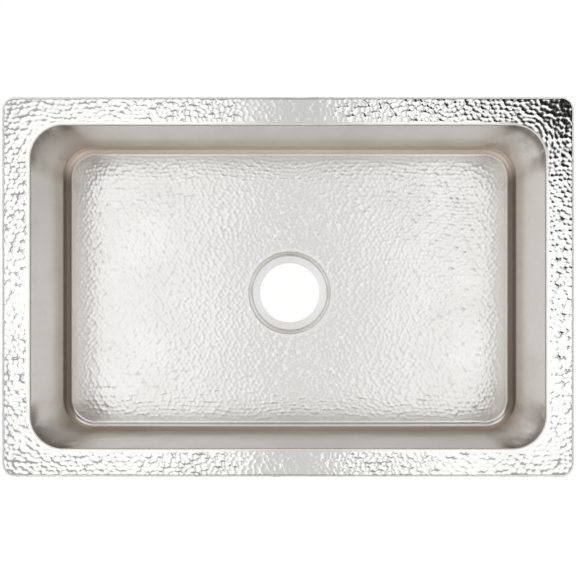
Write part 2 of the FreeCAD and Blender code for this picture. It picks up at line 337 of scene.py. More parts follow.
def deck_top_rows():
    """The upper surface, from the bowl's wall out to the bend and round it."""
    inner, _ = RIM_OUTLINE.loop(OPENING_X, OPENING_Y, OPENING_CORNER)
    outer, _ = rim_loop(BEND)
    steps = round((HALF_X - BEND - OPENING_X) / RIM_STEP)
    rows = []
    for k in range(steps + 1):
        plan = inner + (outer - inner) * k / steps
        x, y = plan.T
        past_x = np.maximum(np.abs(x) - OPENING_X + OPENING_CORNER, 0)
        past_y = np.maximum(np.abs(y) - OPENING_Y + OPENING_CORNER, 0)
        away = np.hypot(past_x, past_y) - OPENING_CORNER
        away = away + RAGGED * soft_noise(x, y, RAGGED_LUMPS, salt=5)
        height = top_marks(plan) * ramp(away, PLAIN_MARGIN, PLAIN_MARGIN + MARGIN_FADE)
        rows.append(np.column_stack((plan, TOP + height)))
    for turn in quarter_turn(BEND_STEPS)[1:]:
        loop, normal = rim_loop(BEND * (1 - math.sin(turn)))
        z = APRON_TOP + BEND * math.cos(turn)
        share = ramp(turn, 0, math.pi / 2)
        height = top_marks(loop) * (1 - share) + side_marks(z) * share
        row = at_height(loop, z)
        row[:, :2] += normal * (height * math.sin(turn))[:, None]
        row[:, 2] += height * math.cos(turn)
        rows.append(row)
    return np.stack(rows)


def side_rows(heights, outline=RIM_OUTLINE):
    """The outer face of the turned-down sheet at each of the heights."""
    loop, normal = rim_loop(0, outline)
    rows = []
    for z in heights:
        row = at_height(loop, z)
        row[:, :2] += normal * side_marks(z, outline)[:, None]
        rows.append(row)
    return np.stack(rows)


def half_columns(loop, side):
    """Indices of the loop's points on one side of the middle, in order, ends included."""
    keep = side * loop[:, 0] >= -TINY
    first = int(np.flatnonzero(keep & ~np.roll(keep, 1))[0])
    order = (np.arange(len(loop)) + first) % len(loop)
    return order[:int(keep.sum())]


def make_deck_skin(name, side):
    """Half of the deck, with its turned-down edge where there is no apron below it."""
    sheet = Sheet(name)
    plan, _ = rim_loop(0)
    half = half_columns(plan, side)
    over_apron = half[plan[half, 1] <= APRON_BACK + TINY]
    behind = half[plan[half, 1] >= APRON_BACK - TINY]
    top = deck_top_rows()
    sheet.add_grid(top[:, half])
    lip_face = side_rows(np.linspace(APRON_TOP, LIP_FOOT, LIP_ROWS))
    sheet.add_grid(lip_face[:, behind])
    inside, _ = rim_loop(SHEET)
    inner_lip = np.stack((at_height(inside, LIP_FOOT), at_height(inside, APRON_TOP)))
    sheet.add_grid(np.stack((lip_face[-1], inner_lip[0]))[:, behind])
    sheet.add_grid(inner_lip[:, behind])
    sheet.add_grid(np.stack((top[-1], inner_lip[1]))[:, over_apron])
    under = []
    for turn in quarter_turn(INNER_BEND_STEPS):
        loop, _ = rim_loop(SHEET + EDGE_BEND * (1 - math.cos(turn)))
        under.append(at_height(loop, APRON_TOP + EDGE_BEND * math.sin(turn)))
    edge, _ = RIM_OUTLINE.loop(OPENING_X, OPENING_Y, OPENING_CORNER)
    under.append(at_height(edge, TOP - SHEET))
    under = np.stack(under)
    sheet.add_grid(under[:, half])
    sheet.add_grid(np.stack((under[-1], top[0]))[:, half])
    lip_end = behind[-1] if side < 0 else behind[0]
    sheet.add_polygon(np.concatenate((lip_face[:, lip_end], inner_lip[:, lip_end])))
    front, back = (half[0], half[-1]) if side > 0 else (half[-1], half[0])
    sheet.add_polygon(np.concatenate((top[:, front], under[:, front])))
    outside = np.concatenate((top[:, back], lip_face[1:, back]))
    sheet.add_polygon(np.concatenate((outside, inner_lip[:1, back], under[:, back])))
    return sheet.finish("deck_frame")


def apron_columns():
    """Columns of the apron's loop that each of its three sheets covers, by the node's name."""
    x, y = rim_loop(0, APRON_OUTLINE)[0].T
    in_front = np.flatnonzero((y <= -HALF_Y + TINY) & (np.abs(x) <= CORNER_START + TINY))
    return {
        "apron_front": in_front[np.argsort(x[in_front])],
        "apron_return_right": np.flatnonzero((y <= APRON_BACK + TINY) & (x >= CORNER_START - TINY)),
        "apron_return_left": np.flatnonzero((y <= APRON_BACK + TINY) & (x <= TINY - CORNER_START)),
    }


def make_apron_skin(node, columns):
    """One sheet of the apron, hammered outside and plain inside."""
    sheet = Sheet(node + "_skin")
    rows = round(APRON_TOP / APRON_STEP)
    face = side_rows(np.linspace(APRON_TOP, 0, rows + 1), APRON_OUTLINE)[:, columns]
    sheet.add_grid(face)
    inside, _ = rim_loop(SHEET, APRON_OUTLINE)
    back = np.stack((at_height(inside, 0), at_height(inside, APRON_TOP)))[:, columns]
    sheet.add_grid(np.stack((face[-1], back[0])))
    sheet.add_grid(back)
    sheet.add_grid(np.stack((back[1], face[0])))
    for end in (0, -1):
        sheet.add_polygon(np.concatenate((face[:, end], back[:, end])))
    return sheet.finish(node)


# --- bowl --------------------------------------------------------------------------------
FLOOR_MARK = 0.0068
FLOOR_SLOPE = 0.09
FLOOR_ROWS = 1.06            # its rows lie a little closer than the rim's
FLOOR_SWELL = 0.00008        # height of its gentle swells
SWELL_LUMPS = 0.045
EDGE_DEPTH = 0.3             # share of the marks' depth that is left beside the cove
EDGE_FADE = 0.028
DISH_FADE = 0.002            # the marks end over this width past the recess
DISH_EDGE = 0.0003           # softened edges of the drain's hole
RIPPLE = 0.0001              # faint ripples of the walls
RIPPLE_LUMPS = 0.05
RIPPLE_DRAWN = 0.6           # under 1, so they are drawn out along the height
TRIANGLES_INSIDE = 1         # asks for the triangles within the boundary alone
INSIDE_X = OPENING_X - SHEET
INSIDE_Y = OPENING_Y - SHEET
FLOOR_TOP = WALL_FOOT - COVE
DISH_STEPS = 2 * round(math.pi * DISH_HIGH[0] / FLOOR_STEP)
PAN_OUTLINE = Outline(INSIDE_X, INSIDE_Y, LOW_CORNER, FLOOR_STEP)
WALL_OUTLINE = Outline(INSIDE_X, INSIDE_Y, LOW_CORNER, WALL_RUN_STEP)


def pan_loop(inset):
    """A loop at a distance inside the floor pan's upper edge, or outside it below 0."""
    return PAN_OUTLINE.loop(INSIDE_X - inset, INSIDE_Y - inset, LOW_CORNER - inset)


def floor_marks(u, v):
    """The floor's marks are shallow, and lie in rows that wander."""
    fine = hammer_marks(
        u, v * FLOOR_ROWS, FLOOR_MARK, FLOOR_SLOPE, salt=71,
        jitter=0.55, uneven=0.06, warp=1.2, warp_size=10.0,
    )
    return fine + FLOOR_SWELL * soft_noise(u, v, SWELL_LUMPS, salt=73)


def floor_height(plan):
    """Height of the hammered floor above a plan point, where it is smoother beside the cove."""
    u, v = plan.T
    near_x = INSIDE_X - COVE - np.abs(u)
    near_y = INSIDE_Y - COVE - np.abs(v)
    depth = EDGE_DEPTH + (1 - EDGE_DEPTH) * ramp(np.minimum(near_x, near_y), 0, EDGE_FADE)
    return FLOOR_TOP + floor_marks(u, v) * depth


def floor_grid(side):
    """Points of a three-way grid on one half of the floor, clear of the edges."""
    row_step = FLOOR_STEP * math.sqrt(3) / 2
    reach_x = INSIDE_X - COVE
    reach_y = INSIDE_Y - COVE
    corner = LOW_CORNER - COVE
    columns = np.arange(0, reach_x, FLOOR_STEP)
    rows = np.arange(-reach_y, reach_y, row_step)
    u, v = np.meshgrid(columns, rows)
    u = u + (np.arange(len(rows)) % 2)[:, None] * FLOOR_STEP / 2
    u = u.ravel()
    v = v.ravel()
    clear = 0.6 * FLOOR_STEP
    over_x = np.maximum(u - (reach_x - corner), 0)
    over_y = np.maximum(np.abs(v) - (reach_y - corner), 0)
    inside = np.hypot(over_x, over_y) < corner - clear
    inside &= (reach_x - u > clear) & (reach_y - np.abs(v) > clear) & (u > clear)
    inside &= np.hypot(u, v - DRAIN_Y) > DISH_HIGH[0] + clear
    return np.column_stack((side * u[inside], v[inside]))


def middle_run(start, end):
    """Points along the middle of the floor between two places, without the places themselves."""
    y = np.linspace(start, end, round(abs(end - start) / FLOOR_STEP) + 1)[1:-1]
    return np.column_stack((np.zeros(len(y)), y))


def floor_rim(side):
    """The closed boundary of one half of the floor, in plan."""
    loop, _ = pan_loop(COVE)
    outer = loop[half_columns(loop, side)]
    if side < 0:
        outer = outer[::-1]
    dish = DISH_HIGH[0]
    turns = np.linspace(math.pi / 2, -math.pi / 2, DISH_STEPS // 2 + 1)
    arc = np.column_stack((side * dish * np.cos(turns), DRAIN_Y + dish * np.sin(turns)))
    back = middle_run(outer[-1, 1], DRAIN_Y + dish)
    front = middle_run(DRAIN_Y - dish, outer[0, 1])
    return np.concatenate((outer, back, arc, front))


def cove_rows(columns):
    """From the floor up the cove to the foot of the wall."""
    rows = []
    for turn in quarter_turn(COVE_STEPS):
        loop, normal = pan_loop(COVE * (1 - math.sin(turn)))
        lift = floor_marks(loop[:, 0], loop[:, 1]) * EDGE_DEPTH * (1 - turn / (math.pi / 2))
        row = at_height(loop, FLOOR_TOP + COVE * (1 - math.cos(turn)))
        row[:, :2] -= normal * (lift * math.sin(turn))[:, None]
        row[:, 2] += lift * math.cos(turn)
        rows.append(row[columns])
    return np.stack(rows)


def under_rows(columns):
    """The outside of the pan, from its upper edge down to the flat underside."""
    rows = []
    for turn in reversed(quarter_turn(UNDER_COVE_STEPS)):
        loop, _ = pan_loop(COVE - (COVE + SHEET) * math.sin(turn))
        z = FLOOR_TOP + COVE - (COVE + SHEET) * math.cos(turn)
        rows.append(at_height(loop, z)[columns])
    return np.stack(rows)


def make_floor_skin(name, side):
    """Half of the floor, with its cove, its underside and the hole for the drain's dish."""
    sheet = Sheet(name)
    loop, _ = pan_loop(0)
    columns = half_columns(loop, side)
    border = floor_rim(side)
    plan = np.concatenate((border, floor_grid(side)))
    ring = [(k, (k + 1) % len(border)) for k in range(len(border))]
    found = delaunay_2d_cdt([tuple(p) for p in plan], ring, [], TRIANGLES_INSIDE, TINY)
    corners, _, triangles = found[:3]
    flat = np.array([(p[0], p[1]) for p in corners])
    sheet.add_triangles(np.column_stack((flat, floor_height(flat))), triangles)
    cove = cove_rows(columns)
    under = under_rows(columns)
    sheet.add_grid(cove)
    sheet.add_grid(np.stack((cove[-1], under[0])))
    sheet.add_grid(under)
    sheet.add_polygon(at_height(border, PAN_FOOT))
    middle = np.concatenate((border[len(columns) - 1:], border[:1]))
    upper = np.column_stack((middle, floor_height(middle)))
    sheet.add_grid(np.stack((upper, at_height(middle, PAN_FOOT))))
    for end in (0, -1):
        sheet.add_polygon(np.concatenate((cove[:, end], under[:, end])))
    return sheet.finish("floor_pan")


def wall_loop(share, offset):
    """A loop of the wall at a share of its height, offset outwards from its inner face."""
    corner = LOW_CORNER + (TOP_CORNER - LOW_CORNER) * share + offset
    return WALL_OUTLINE.loop(INSIDE_X + offset, INSIDE_Y + offset, corner)


def wall_section():
    """Rows of the wall as (height, offset outwards), round the sheet from the inner foot."""
    height = TOP - WALL_FOOT
    rows = []
    for z in np.linspace(WALL_FOOT, TOP - WALL_EDGE, round(height / WALL_STEP)):
        rows.append((z, 0.0))
    for turn in quarter_turn(BEND_STEPS)[1:]:
        rows.append((TOP - WALL_EDGE * (1 - math.sin(turn)), WALL_EDGE * (1 - math.cos(turn))))
    rows.append((TOP, SHEET))
    rows.append((WALL_FOOT, SHEET))
    rows.append((WALL_FOOT, 0.0))
    return rows


def make_wall_skin(name, side):
    """Half of the bowl's wall, rippled a little on its inner face between the foot and the top."""
    sheet = Sheet(name)
    plan, _ = wall_loop(0, 0)
    columns = half_columns(plan, side)
    along = run_length(plan)
    rows = []
    for z, offset in wall_section():
        share = (z - WALL_FOOT) / (TOP - WALL_FOOT)
        loop, normal = wall_loop(share, offset)
        row = at_height(loop, z)
        if offset == 0:
            lumps = soft_noise(along, np.full(len(along), z * RIPPLE_DRAWN), RIPPLE_LUMPS, salt=91)
            ripple = RIPPLE * lumps * 4 * share * (1 - share)
            row[:, :2] += normal * ripple[:, None]
        rows.append(row[columns])
    rows = np.stack(rows)
    sheet.add_grid(rows)
    for end in (0, -1):
        sheet.add_polygon(rows[:-1, end])
    return sheet.finish(name.replace("wall_skin", "bowl_wall"))


def rounded_path(points, radii, steps):
    """A closed path in a plane, whose corners with a radius are replaced with arcs."""
    path = []
    count = len(points)
    for k in range(count):
        here = np.array(points[k], dtype=float)
        if radii[k] == 0:
            path.append(here)
            continue
        before = np.array(points[k - 1], dtype=float) - here
        after = np.array(points[(k + 1) % count], dtype=float) - here
        before = before / np.linalg.norm(before)
        after = after / np.linalg.norm(after)
        half = math.acos(float(np.clip(before @ after, -1, 1))) / 2
        centre = here + (before + after) / np.linalg.norm(before + after) * radii[k] / math.sin(half)
        start = here + before * radii[k] / math.tan(half) - centre
        end = here + after * radii[k] / math.tan(half) - centre
        sweep = math.pi - 2 * half
        for t in np.linspace(0, 1, steps + 1):
            mix = (math.sin((1 - t) * sweep) * start + math.sin(t * sweep) * end) / math.sin(sweep)
            path.append(centre + mix)
    return np.array(path)


def make_dish_skin():
    """The pressed ring round the drain, with the floor's marks up to the edge of its recess."""
    seat = SHEET
    lean = SHEET * math.tan(math.atan2(FLOOR_TOP - seat, RECESS_RADIUS - SEAT_RADIUS) / 2)
    flat_radii = np.arange(DISH_HIGH[0], RECESS_RADIUS + DISH_BEND + SHEET, -FLOOR_STEP)
    points = [(radius, FLOOR_TOP) for radius in flat_radii]
    points += [
        (RECESS_RADIUS, FLOOR_TOP),
        (SEAT_RADIUS, seat),
        (DRAIN_BORE, seat),
        (DRAIN_BORE, 0.0),
        (SEAT_RADIUS + lean, 0.0),
        (RECESS_RADIUS + lean, FLOOR_TOP - SHEET),
        (DISH_HIGH[0], FLOOR_TOP - SHEET),
    ]
    outer_bend = DISH_BEND + SHEET
    radii = [0] * len(flat_radii)
    radii += [outer_bend, DISH_BEND, DISH_EDGE, DISH_EDGE, outer_bend, DISH_BEND, 0]
    path = rounded_path(points, radii, DISH_BEND_STEPS)
    turns = math.pi / 2 + np.linspace(0, 2 * math.pi, DISH_STEPS, endpoint=False)
    rows = []
    for radius, z in np.concatenate((path, path[:1])):
        x = radius * np.cos(turns)
        y = DRAIN_Y + radius * np.sin(turns)
        upper = z > FLOOR_TOP - SHEET / 2
        share = ramp(radius, SEAT_RADIUS, RECESS_RADIUS + DISH_FADE) if upper else 0.0
        rows.append(np.column_stack((x, y, z + floor_marks(x, y) * share)))
    sheet = Sheet("dish_skin")
    sheet.add_grid(np.stack(rows), closed=True)
    return sheet.finish("drain_dish")


# --- materials ---------------------------------------------------------------------------
MOST_NOISE = (0.3, 0.7)      # the range that most of a noise lies in
UPRIGHT = (1, 1, 0.2)        # draws a noise out along the height


class Nodes:
    """Short names for building one node tree."""

    def __init__(self, tree):
        self.tree = tree
        tree.nodes.clear()

    def add(self, kind, **settings):
        """A node with its own settings, whose inputs are set afterwards."""
        node = self.tree.nodes.new(kind)
        for name, value in settings.items():
            setattr(node, name, value)
        return node

    def link(self, source, target):
        self.tree.links.new(source, target)

    def put(self, target, value):
        """Sets an input to a number or colour, or links a socket to it."""
        if isinstance(value, bpy.types.NodeSocket):
            self.link(value, target)
        else:
            target.default_value = value

    def maths(self, operation, a, b=0.0, clamp=False):
        node = self.add("ShaderNodeMath", operation=operation, use_clamp=clamp)
        self.put(node.inputs[0], a)
        self.put(node.inputs[1], b)
        return node.outputs[0]

    def plus(self, a, b):
        return self.maths("ADD", a, b)

    def minus(self, a, b):
        return self.maths("SUBTRACT", a, b)

    def times(self, a, b):
        return self.maths("MULTIPLY", a, b)

    def over(self, a, b):
        return self.maths("DIVIDE", a, b)

    def unsigned(self, a):
        return self.maths("ABSOLUTE", a)

    def square_sum(self, a, b):
        return self.plus(self.times(a, a), self.times(b, b))

    def length(self, a, b):
        return self.maths("SQRT", self.square_sum(a, b))

    def smooth(self, value, low, high, to_low=0.0, to_high=1.0):
        """to_low below low, to_high above high, and smooth between them."""
        node = self.add("ShaderNodeMapRange", interpolation_type="SMOOTHSTEP")
        for socket, given in zip(node.inputs, (value, low, high, to_low, to_high)):
            self.put(socket, given)
        return node.outputs[0]

    def blend(self, share, a, b):
        """Colour a where the share is 0, and b where it is 1."""
        node = self.add("ShaderNodeMix", data_type="RGBA")
        self.put(node.inputs[0], share)
        self.put(node.inputs[6], a)
        self.put(node.inputs[7], b)
        return node.outputs[2]

    def split(self, place):
        """The x, y and z of a place."""
        node = self.add("ShaderNodeSeparateXYZ")
        self.link(place, node.inputs[0])
        return node.outputs

    def noise(self, place, scale, detail=2.0, stretch=(1, 1, 1)):
        mapping = self.add("ShaderNodeMapping")
        mapping.inputs["Scale"].default_value = stretch
        self.link(place, mapping.inputs["Vector"])
        node = self.add("ShaderNodeTexNoise")
        node.inputs["Scale"].default_value = scale
        node.inputs["Detail"].default_value = detail
        self.link(mapping.outputs[0], node.inputs["Vector"])
        return node.outputs["Fac"]

    def patches(self, place, scale, detail, low, high, most):
        """Upright smudges: none where the noise is below low, and most where it is above high."""
        return self.smooth(self.noise(place, scale, detail, UPRIGHT), low, high, 0.0, most)

    def bump(self, shader, height, distance):
        node = self.add("ShaderNodeBump")
        node.inputs["Strength"].default_value = 1.0
        node.inputs["Distance"].default_value = distance
        self.link(height, node.inputs["Height"])
        self.link(node.outputs[0], shader.inputs["Normal"])

    def join(self, kind, first, second, share=None):
        """Adds two shaders, or mixes them by a share."""
        node = self.add(kind)
        if share is not None:
            self.link(share, node.inputs[0])
        for socket, shader in zip(list(node.inputs)[-2:], (first, second)):
            self.link(shader.outputs[0], socket)
        return node

    def show(self, shader, kind="ShaderNodeOutputMaterial"):
        """Makes the shader the one that the tree puts out."""
        self.link(shader.outputs[0], self.add(kind).inputs["Surface"])


def grey(level):
    return (level, level, level, 1.0)


def new_material(name):
    """An empty material, its nodes, and the places on the piece."""
    material = bpy.data.materials.new(name)
    material.use_nodes = True
    nodes = Nodes(material.node_tree)
    return material, nodes, nodes.add("ShaderNodeTexCoord").outputs["Object"]


def metal(
    name, light, dark, rough, spread, grain, scratch, stretch=(1, 1, 1), stain_and_shade=None, metallic=1.0
):
    """Metal with cloudy tone, uneven roughness and a fine grain.

    light and dark are the tones of the clouds, spread is how much the roughness varies, and
    scratch the depth of the grain. stain is a function that lays stains and painted shade over
    the base colour by the place on the piece.
    """
    material, nodes, place = new_material(name)
    cloud = nodes.noise(place, scale=12.0, detail=4.0)
    fine = nodes.noise(place, grain, stretch=stretch)
    shader = nodes.add("ShaderNodeBsdfPrincipled")
    shader.inputs["Metallic"].default_value = metallic
    colour = nodes.blend(cloud, light, dark)
    uneven = nodes.plus(nodes.times(cloud, 0.5), nodes.times(fine, 0.5))
    roughness = nodes.smooth(uneven, *MOST_NOISE, rough - spread, rough + spread)
    if stain_and_shade:
        colour, roughness = stain_and_shade(nodes, place, colour, roughness)
    nodes.link(colour, shader.inputs["Base Color"])
    nodes.link(roughness, shader.inputs["Roughness"])
    nodes.bump(shader, fine, scratch)
    nodes.show(shader)
    return material


def hammered_steel():
    """Bright sheet of the deck and the apron, whose hammering is in its shape."""
    light = (0.93, 0.925, 0.91, 1)
    dark = (0.88, 0.875, 0.855, 1)
    return metal("hammered_steel", light, dark, rough=0.10, spread=0.03, grain=900.0, scratch=0.000004)


def satin_steel():
    """Duller sheet of the drain's dish."""
    light = (0.92, 0.915, 0.90, 1)
    dark = (0.88, 0.87, 0.85, 1)
    return metal("satin_steel", light, dark, rough=0.22, spread=0.03, grain=500.0, scratch=0.000004)


def plain_steel():
    """Mill finish of the flanges, braces and brackets, whose grain is drawn out along X."""
    light = (0.62, 0.62, 0.61, 1)
    dark = (0.52, 0.52, 0.51, 1)
    drawn = (0.08, 1, 1)
    return metal(
        "plain_steel", light, dark, rough=0.42, spread=0.06, grain=700.0, scratch=0.00001,
        stretch=drawn,
    )


# --- stains and painted shade of the bowl, as colours and as distances in metres ------------
HEAT_TINT_AND_SHADE = (0.40, 0.33, 0.275, 1)    # brown of the welds in the corners' smudges, and painted shade at the ends' foot and under the lip
SCORCH = (0.16, 0.125, 0.10, 1)       # darkest beside them
CLOUD_TINT = (0.66, 0.59, 0.52, 1)    # brown haze on the walls
LOW_WALL_SHADE = (1.0, 0.92, 0.83, 1)       # painted shade of the walls near the floor
DARK_COVE_SHADE = (0.28, 0.225, 0.19, 1)    # painted shade of the dull cove at the bowl's ends
LIGHT_COVE_SHADE = (0.86, 0.76, 0.66, 1)    # painted shade of the cove at its back, lighter
FRONT_COVE_SHADE = (0.56, 0.48, 0.405, 1)   # painted shade of the cove at its front
MILL_LIGHT = (0.66, 0.65, 0.63, 1)    # underside of the floor
MILL_DARK = (0.56, 0.55, 0.53, 1)

# A band is two distances, over which a stain or painted shade comes or goes.
FRONT_BAND = (0.03, 0.01)        # painted shade of the front wall, from its face
END_BAND = (0.03, 0.004)         # painted shade of the end walls' foot, from their faces
FOOT_BAND = (-0.004, 0.012)      # painted shade of the walls' foot, from their lower edge
SMUDGE_TOP = (0.0012, 0.0004)    # upper end of the corners' smudges, from the lip's top
SMUDGE_BAND = (0.14, 0.02)       # below this they are half as strong
SCORCH_BAND = (0.055, 0.008)     # and below this they aren't scorched
LINE_BAND = (0.007, 0.003)       # lower edge of the painted dark line of shade under the lip
LIP_BAND = (0.0004, 0.0001)      # and its upper edge
COVE_BAND = (-0.0035, 0.0005)    # painted shade of the cove, from its edge
FRONT_COVE_BAND = (0.035, 0.010)
BACK_COVE_BAND = (-0.01, 0.035)  # end of the painted dark shade, from the back corners' centres
UNDER_BAND = (0.0016, 0.0009)    # finish of the underside, below the floor's top

BROWN_FULL = 0.02            # the walls' painted shade is brownest up to this height
BROWN_FROM = 0.17            # and aren't brown above this one
BROWN_MOTTLE = 0.08          # how far these heights wander
FOOT_STRENGTH = 0.8
FOOT_ROUGH = 0.3             # how much rougher the walls are at their foot
FOOT_ROUGH_REACH = 0.09
SMUDGE_PAST = 0.02           # how far the smudges reach along the straight walls
SMUDGE_FADE = 0.030
LINE_STRENGTH = 0.8
COVE_ROUGH = 0.28            # how much rougher the cove is
END_COVE_REACH = 0.035
FRONT_COVE_MORE = 0.006      # how much wider the front cove's painted shade is
FRONT_COVE_STRENGTH = 0.8
UNDER_ROUGH = 0.2


def past_straight(nodes, x, y):
    """How far a point lies past the straight stretch of each wall, into the corner bend."""
    past_x = nodes.minus(nodes.unsigned(x), INSIDE_X - LOW_CORNER)
    past_y = nodes.minus(nodes.unsigned(y), INSIDE_Y - LOW_CORNER)
    return past_x, past_y


def past_corner(nodes, x, y):
    """Distance outwards from the centres of the bowl's corner bends, or from the lines between."""
    past_x, past_y = past_straight(nodes, x, y)
    return nodes.length(nodes.maths("MAXIMUM", past_x, 0.0), nodes.maths("MAXIMUM", past_y, 0.0))


def from_corner(nodes, x, y):
    """Above 0 in the bowl's corners, and below 0 along its straight walls."""
    past_x, past_y = past_straight(nodes, x, y)
    return nodes.maths("MINIMUM", nodes.plus(past_x, SMUDGE_PAST), nodes.plus(past_y, SMUDGE_PAST))


def towards_front(nodes, y, band):
    """0 further from the front wall than the band, and 1 nearer to it."""
    return nodes.smooth(y, band[0] - INSIDE_Y, band[1] - INSIDE_Y)


def below_top(nodes, z, band, to_low=0.0, to_high=1.0):
    """to_low further below the lip's top than the band, and to_high nearer to it."""
    return nodes.smooth(z, TOP - band[0], TOP - band[1], to_low, to_high)


def painted_low_shade(nodes, place, colour):
    """Painted shade: the walls grow browner towards the floor, the front one most, and darker at the
    foot.
    """
    x, y, z = nodes.split(place)
    mottle = nodes.minus(nodes.noise(place, scale=18.0, detail=3.0), 0.5)
    uneven = nodes.plus(z, nodes.times(mottle, BROWN_MOTTLE))
    low = nodes.smooth(uneven, BROWN_FULL, BROWN_FROM, 1.0, 0.0)
    colour = nodes.blend(low, colour, LOW_WALL_SHADE)
    in_front = towards_front(nodes, y, FRONT_BAND)
    colour = nodes.blend(nodes.times(low, in_front), colour, FRONT_COVE_SHADE)
    foot = nodes.smooth(z, WALL_FOOT + FOOT_BAND[0], WALL_FOOT + FOOT_BAND[1], 1.0, 0.0)
    at_ends = nodes.smooth(nodes.unsigned(x), INSIDE_X - END_BAND[0], INSIDE_X - END_BAND[1])
    tone = nodes.blend(in_front, LIGHT_COVE_SHADE, FRONT_COVE_SHADE)
    tone = nodes.blend(at_ends, tone, HEAT_TINT_AND_SHADE)
    return nodes.blend(nodes.times(foot, FOOT_STRENGTH), colour, tone)


def hazy(nodes, place, colour):
    """A faint brown haze, and fainter brush strokes."""
    haze = nodes.patches(place, scale=16.0, detail=4.0, low=0.42, high=0.66, most=0.20)
    colour = nodes.blend(haze, colour, CLOUD_TINT)
    brushed = nodes.patches(place, scale=260.0, detail=3.0, low=0.38, high=0.62, most=0.07)
    return nodes.blend(brushed, colour, CLOUD_TINT)


def smudged_corners(nodes, place, colour):
    """Brown smudges of heat in the corners, scorched near the top."""
    x, y, z = nodes.split(place)
    in_corner = nodes.smooth(from_corner(nodes, x, y), 0.0, SMUDGE_FADE)
    in_corner = nodes.times(in_corner, below_top(nodes, z, SMUDGE_TOP, 1.0, 0.0))
    smudge = nodes.patches(place, scale=26.0, detail=5.0, low=0.34, high=0.54, most=0.9)
    smudge = nodes.times(smudge, below_top(nodes, z, SMUDGE_BAND, 0.5, 1.0))
    colour = nodes.blend(nodes.times(smudge, in_corner), colour, HEAT_TINT_AND_SHADE)
    scorch = nodes.patches(place, scale=45.0, detail=5.0, low=0.37, high=0.50, most=0.95)
    scorch = nodes.times(scorch, below_top(nodes, z, SCORCH_BAND))
    return nodes.blend(nodes.times(scorch, in_corner), colour, SCORCH)


def wall_stain_and_shade(nodes, place, colour, rough):
    """Haze and smudged corners, with painted brown shade at the foot and a painted dark line of shade
    just below the bright lip.
    """
    z = nodes.split(place)[2]
    colour = painted_low_shade(nodes, place, colour)
    colour = hazy(nodes, place, colour)
    colour = smudged_corners(nodes, place, colour)
    # A painted dark line of shade just below the lip.
    lip = below_top(nodes, z, LIP_BAND, LINE_STRENGTH, 0.0)
    line = nodes.times(below_top(nodes, z, LINE_BAND), lip)
    rougher = nodes.smooth(z, WALL_FOOT, WALL_FOOT + FOOT_ROUGH_REACH, FOOT_ROUGH, 0.0)
    return nodes.blend(line, colour, HEAT_TINT_AND_SHADE), nodes.plus(rough, rougher)


def cove_shade_and_mill_finish(nodes, place, colour, rough):
    """The cove is dull, with painted shade that is dark brown at the bowl's ends and lighter at the
    front and back.

    The underside has a mill finish.
    """
    x, y, z = nodes.split(place)
    in_front = towards_front(nodes, y, FRONT_COVE_BAND)
    inset = nodes.minus(LOW_CORNER, past_corner(nodes, x, y))
    inset = nodes.plus(inset, nodes.times(in_front, FRONT_COVE_MORE))
    # Painted shade in the cove, dark at the ends and lighter at the front and back.
    cove = nodes.smooth(inset, COVE + COVE_BAND[0], COVE + COVE_BAND[1], 1.0, 0.0)
    at_ends = nodes.smooth(nodes.unsigned(x), INSIDE_X - END_COVE_REACH, INSIDE_X - COVE)
    corner_y = INSIDE_Y - LOW_CORNER
    not_back = nodes.smooth(y, corner_y + BACK_COVE_BAND[0], corner_y + BACK_COVE_BAND[1], 1.0, 0.0)
    tone = nodes.blend(nodes.times(at_ends, not_back), LIGHT_COVE_SHADE, DARK_COVE_SHADE)
    tone = nodes.blend(nodes.times(in_front, FRONT_COVE_STRENGTH), tone, FRONT_COVE_SHADE)
    colour = nodes.blend(cove, colour, tone)
    rough = nodes.plus(rough, nodes.times(cove, COVE_ROUGH))
    under = nodes.smooth(z, FLOOR_TOP - UNDER_BAND[0], FLOOR_TOP - UNDER_BAND[1], 1.0, 0.0)
    cloud = nodes.smooth(nodes.noise(place, scale=30.0, detail=5.0), low=0.35, high=0.65)
    mill = nodes.blend(cloud, MILL_LIGHT, MILL_DARK)
    return nodes.blend(under, colour, mill), nodes.plus(rough, nodes.times(under, UNDER_ROUGH))


def floor_steel():
    """Satin sheet of the floor, with painted shade in its cove."""
    light = (0.88, 0.875, 0.86, 1)
    dark = (0.84, 0.83, 0.81, 1)
    return metal(
        "floor_steel", light, dark, rough=0.19, spread=0.03, grain=500.0, scratch=0.000004,
        stain_and_shade=cove_shade_and_mill_finish,
    )


def wall_steel():
    """Dull sheet of the walls, whose grain is drawn out along the height."""
    light = (1.0, 0.975, 0.94, 1)
    dark = (0.95, 0.92, 0.88, 1)
    drawn = (1, 1, 0.3)
    return metal(
        "wall_steel", light, dark, rough=0.30, spread=0.02, grain=120.0, scratch=0.0000005,
        stretch=drawn, stain_and_shade=wall_stain_and_shade, metallic=0.5,
    )


def pad_rubber():
    """Matt black rubber with a pebbled skin and a little dust."""
    black = (0.022, 0.022, 0.024, 1)
    dusty = (0.045, 0.044, 0.043, 1)
    material, nodes, place = new_material("pad_rubber")
    cloud = nodes.noise(place, scale=25.0, detail=4.0)
    pebbles = nodes.noise(place, scale=900.0)
    shader = nodes.add("ShaderNodeBsdfPrincipled")
    nodes.link(nodes.blend(cloud, black, dusty), shader.inputs["Base Color"])
    nodes.link(nodes.smooth(cloud, *MOST_NOISE, to_low=0.62, to_high=0.8), shader.inputs["Roughness"])
    nodes.bump(shader, pebbles, distance=0.0003)
    nodes.show(shader)
    return material


def dress(piece, material):
    piece.data.materials.clear()
    piece.data.materials.append(material)


# --- studio ------------------------------------------------------------------------------
FLOOR_REACH = 12.0
FLOOR_COLOUR = 0.9           # where it lights the object
FLOOR_SHADED = 0.14          # where it is seen: the part of its level that takes shadows
FLOOR_NEAR = 0.46            # the floor is white up to a rounded square of this half width
FLOOR_FAR = 0.95             # and grey outside one of this half width
NEAR_GLOW = 0.93
FAR_GLOW = 0.47


